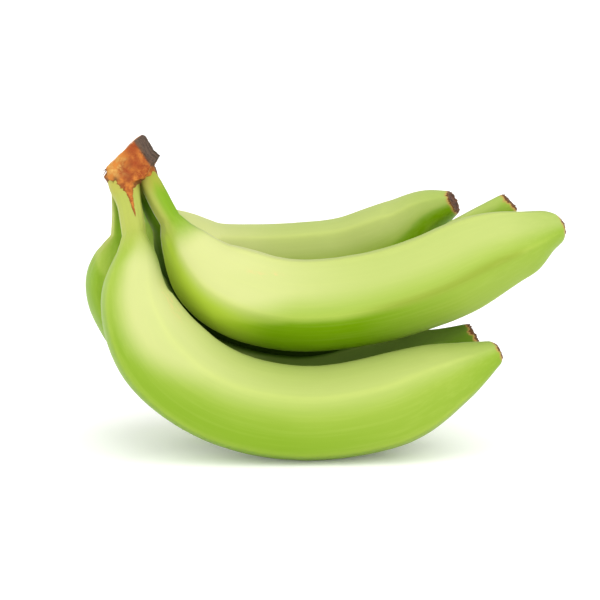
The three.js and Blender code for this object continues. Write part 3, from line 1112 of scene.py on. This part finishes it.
def make_tongue(material):
    """The strip of crown tissue that narrows to a point down the front lower stalk."""
    finger = FINGERS["finger_front_lower"]
    sweep = Sweep(finger, RINGS, SIDES)
    distance = np.linspace(TONGUE_DISTANCE[0], TONGUE_DISTANCE[-1], TONGUE_RINGS)
    centre, inner, across = (np.stack([np.interp(distance, sweep.distance, part[:, k]) for k in range(3)], 1)
                             for part in (sweep.centre, sweep.inner, sweep.across))
    mean = finger_radius(finger, distance, sweep.length)
    half = np.interp(distance, TONGUE_DISTANCE, TONGUE_HALF_WIDTH)
    middle = np.radians(np.interp(distance, TONGUE_DISTANCE, TONGUE_ANGLE))
    thinned = TONGUE_THINNING * smoothstep(distance, TONGUE_THIN_FROM, TONGUE_DISTANCE[-1])
    thick = TONGUE_THICKNESS * (1 - thinned)
    dark = TONGUE_DARK_TIP * smoothstep(distance, *TONGUE_DARK_RANGE)
    turn = np.linspace(0, 2 * np.pi, TONGUE_SIDES, endpoint=False)
    cos, sin = np.cos(turn), np.sin(turn)
    rings, hems = [], []
    for i in range(TONGUE_RINGS):
        wobble = noise.noise(Vector((distance[i] * 0.8, 3.1, 7.7))) * TONGUE_WOBBLE * half[i]
        edge = np.array([noise.noise(Vector((distance[i] * 1.3, side * 4.0, 1.9))) for side in np.sign(cos)])
        sideways = cos * half[i] * (1 + TONGUE_RAGGEDNESS * edge) + wobble
        height = sin * thick[i] - TONGUE_SINK
        angle = middle[i] + sideways / mean[i]
        out = np.cos(angle)[:, None] * inner[i] + np.sin(angle)[:, None] * across[i]
        rings.append(centre[i] + out * (mean[i] + height)[:, None])
        hems.append(np.clip(np.abs(cos) ** 3 * TONGUE_DARK_EDGE + dark[i], 0, 1))
    faces = closed_tube_faces(TONGUE_RINGS, TONGUE_SIDES)
    piece = new_piece("crown_tongue", np.vstack(rings), faces, material)
    put_attribute(piece.data, "hem", np.concatenate(hems))


# Loose dry fibres: where they start, which way they point, and how long they are
FIBRES = [
    ((-94.2, 18.5, 138.6), (-0.5, -0.35, -0.75), 3.6), ((-94.6, 20.5, 139.2), (-0.8, -0.1, -0.4), 2.6),
    ((-93.8, 18.0, 137.2), (-0.25, -0.3, -0.9), 3.0), ((-92.6, 18.0, 135.6), (-0.35, -0.35, -0.8), 3.4),
    ((-90.8, 17.6, 134.6), (0.1, -0.3, -0.9), 2.6), ((-88.6, 17.4, 133.6), (-0.15, -0.3, -0.9), 2.2),
    ((-77.4, 18.5, 134.2), (0.3, -0.3, -0.8), 2.4), ((-74.4, 24.0, 135.2), (0.6, -0.2, -0.6), 2.6),
    ((-73.6, 40.0, 137.0), (0.8, 0.1, -0.5), 3.0), ((-86.0, 65.0, 135.0), (-0.2, 0.5, -0.8), 3.2),
    ((-92.5, 60.0, 136.0), (-0.7, 0.3, -0.6), 3.0), ((-76.0, 64.5, 135.0), (0.4, 0.5, -0.7), 2.8),
]
FIBRE_RADIUS = 0.32
FIBRE_THINNING = 0.75
FIBRE_ROOT = 0.8
FIBRE_BEND = 0.22
FIBRE_SIDES = 8
FIBRE_RINGS = 9
FIBRE_DARKNESS = 0.9
FIBRE_CROSS = (0.3, 1.0, 0.2)


def make_fibres(material):
    """Short curved strands that stand off the torn edge."""
    points, faces = [], []
    strand = closed_tube_faces(FIBRE_RINGS, FIBRE_SIDES)
    for k, (start, towards, length) in enumerate(FIBRES):
        along = np.array(towards) / np.linalg.norm(towards)
        side = np.cross(along, FIBRE_CROSS)
        side /= np.linalg.norm(side)
        up = np.cross(side, along)
        bend = (side * math.sin(k * 2.4) + up * math.cos(k * 1.7)) * FIBRE_BEND * length
        faces += [tuple(len(points) + corner for corner in face) for face in strand]
        for t in np.linspace(0, 1, FIBRE_RINGS):
            centre = np.array(start) + along * (length * t - FIBRE_ROOT) + bend * t * t
            radius = FIBRE_RADIUS * (1 - FIBRE_THINNING * t)
            for turn in np.linspace(0, 2 * np.pi, FIBRE_SIDES, endpoint=False):
                points.append(centre + (side * math.cos(turn) + up * math.sin(turn)) * radius)
    piece = new_piece("crown_fibres", np.array(points), faces, material)
    put_attribute(piece.data, "dark_spot", np.full(len(points), FIBRE_DARKNESS))


make_camera()
make_sky()
for lamp in LAMPS:
    make_lamp(*lamp)
make_floor()

skin_material = green_skin()
scar_material = blossom_scar()
for finger_name, finger_values in FINGERS.items():
    make_finger(finger_name, finger_values, skin_material)
    make_scar(finger_name, finger_values, scar_material)

tissue_material = crown_tissue()
make_crown(tissue_material)
make_tongue(tissue_material)
make_fibres(tissue_material)
